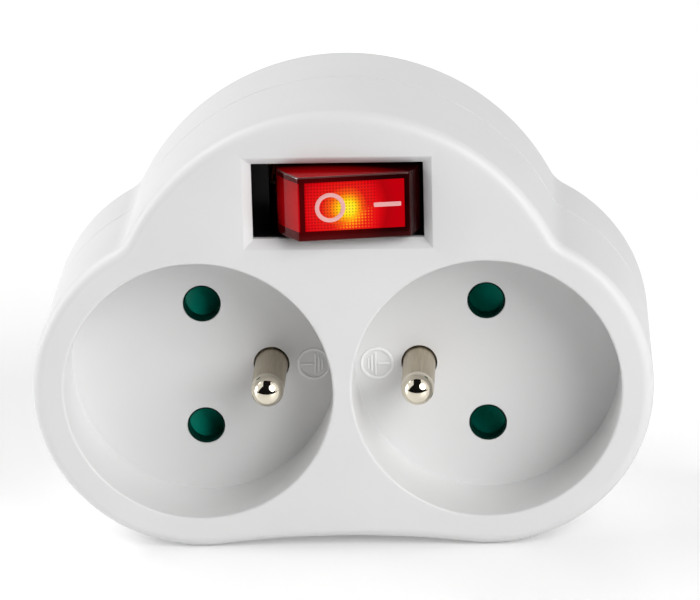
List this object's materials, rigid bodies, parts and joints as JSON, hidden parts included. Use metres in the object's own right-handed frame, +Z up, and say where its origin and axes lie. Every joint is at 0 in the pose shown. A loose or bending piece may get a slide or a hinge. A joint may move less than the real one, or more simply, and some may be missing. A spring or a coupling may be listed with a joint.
{
  "type": "multi socket adapter",
  "caption": "Plug-in wall adapter with side-by-side shuttered earth-pin outlets under a lit red rocker switch, in a three-lobed white housing.",
  "frame": {"origin": "on the ground under the lobes, centred on the whole part, plug pins and rocker included", "axes": "+X to the viewer's right seen from the outlets, +Y from the outlets towards the plug, +Z up"},
  "size_m": [0.0902, 0.0735, 0.0661],
  "materials": {
    "white_plastic": "fine satin moulding",
    "nickel": "nickel plate",
    "brass": "bare stamped strip",
    "green_plastic": "smooth",
    "steel": "zinc plate",
    "black_plastic": "smooth",
    "red_plastic": "see-through red, lit from inside",
    "lamp_glass": "clear tube, lit",
    "resistor_body": "lacquer",
    "brown_insulation": "smooth",
    "blue_insulation": "smooth"
  },
  "bodies": {
    "housing": {"front_cover": "white_plastic", "rear_cover": "white_plastic", "left_shutter_cover": "white_plastic", "right_shutter_cover": "white_plastic", "live_pin": "nickel", "neutral_pin": "nickel", "earth_clip": "nickel", "left_earth_pin": "nickel", "right_earth_pin": "nickel", "earth_sleeve": "brass", "earth_bar": "brass", "live_bar": "brass", "neutral_bar": "brass", "line_terminal": "brass", "load_terminal": "brass", "lamp_terminal": "brass", "left_hole_liners": "green_plastic", "right_hole_liners": "green_plastic", "cover_screws": "steel", "left_shutter_spring": "steel", "right_shutter_spring": "steel", "switch_frame": "black_plastic", "neon_lamp": "lamp_glass", "lamp_resistor": "resistor_body", "line_wire": "brown_insulation", "load_wire": "brown_insulation", "neutral_wire": "blue_insulation", "lamp_wire": "blue_insulation"},
    "left_shutter_body": {"left_shutter": "green_plastic"},
    "right_shutter_body": {"right_shutter": "green_plastic"},
    "rocker_body": {"rocker": "red_plastic", "switch_plunger": "black_plastic", "plunger_spring": "steel"},
    "lever_body": {"contact_lever": "brass"}
  },
  "joints": [
    {"name": "rocker_hinge", "type": "hinge", "parent": "housing", "child": "rocker_body", "pos_m": [0, -0.01775, 0.0526], "axis": [0, 0, 1], "range_deg": [-16, 0]},
    {"name": "lever_hinge", "type": "hinge", "parent": "housing", "child": "lever_body", "pos_m": [0, -0.01165, 0.0526], "axis": [0, 0, 1], "range_deg": [0, 14]},
    {"name": "left_shutter_slide", "type": "slide", "parent": "housing", "child": "left_shutter_body", "axis": [-1, 0, 0], "range_m": [0, 0.0062], "stiffness_N_per_m": 120, "springref_m": -0.003, "deforming": ["left_shutter_spring"]},
    {"name": "right_shutter_slide", "type": "slide", "parent": "housing", "child": "right_shutter_body", "axis": [1, 0, 0], "range_m": [0, 0.0062], "stiffness_N_per_m": 120, "springref_m": -0.003, "deforming": ["right_shutter_spring"]}
  ],
  "couplings": [
    {"joint": "lever_hinge", "follows": "rocker_hinge", "ratio": -0.875}
  ]
}
